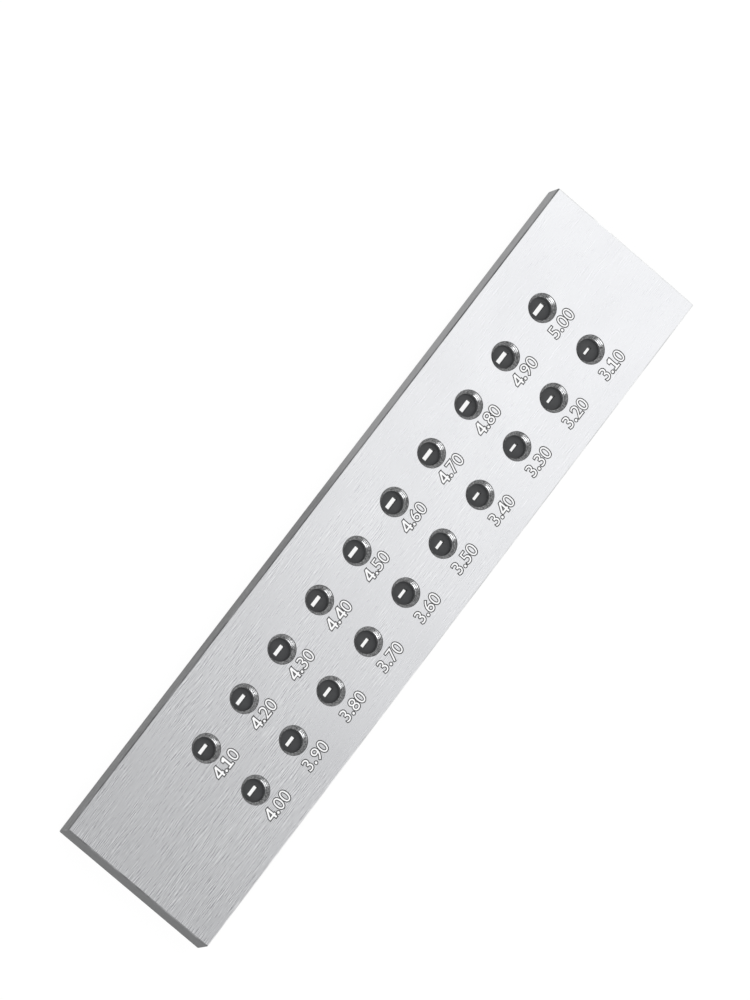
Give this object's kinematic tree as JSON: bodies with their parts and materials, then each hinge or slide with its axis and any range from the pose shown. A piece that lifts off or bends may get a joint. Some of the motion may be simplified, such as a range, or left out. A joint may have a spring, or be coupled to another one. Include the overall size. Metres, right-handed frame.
{
  "type": "wire draw plate",
  "caption": "Flat rectangular steel draw plate with two rows of round carbide dies, each with a rectangular slot through which wire is pulled to size.",
  "frame": {"origin": "centre of the back face, which the plate lies on", "axes": "+X along the plate, from the plain near end to the far end; +Y across it, towards the row of larger dies; +Z out of the front face, the way the wire is pulled"},
  "size_m": [0.205, 0.045, 0.0075],
  "materials": {
    "plate_steel": "fine brushed",
    "die_carbide": "sintered, satin"
  },
  "bodies": {
    "root": {"plate": "plate_steel", "die_01": "die_carbide", "die_02": "die_carbide", "die_03": "die_carbide", "die_04": "die_carbide", "die_05": "die_carbide", "die_06": "die_carbide", "die_07": "die_carbide", "die_08": "die_carbide", "die_09": "die_carbide", "die_10": "die_carbide", "die_11": "die_carbide", "die_12": "die_carbide", "die_13": "die_carbide", "die_14": "die_carbide", "die_15": "die_carbide", "die_16": "die_carbide", "die_17": "die_carbide", "die_18": "die_carbide", "die_19": "die_carbide", "die_20": "die_carbide"}
  },
  "joints": []
}
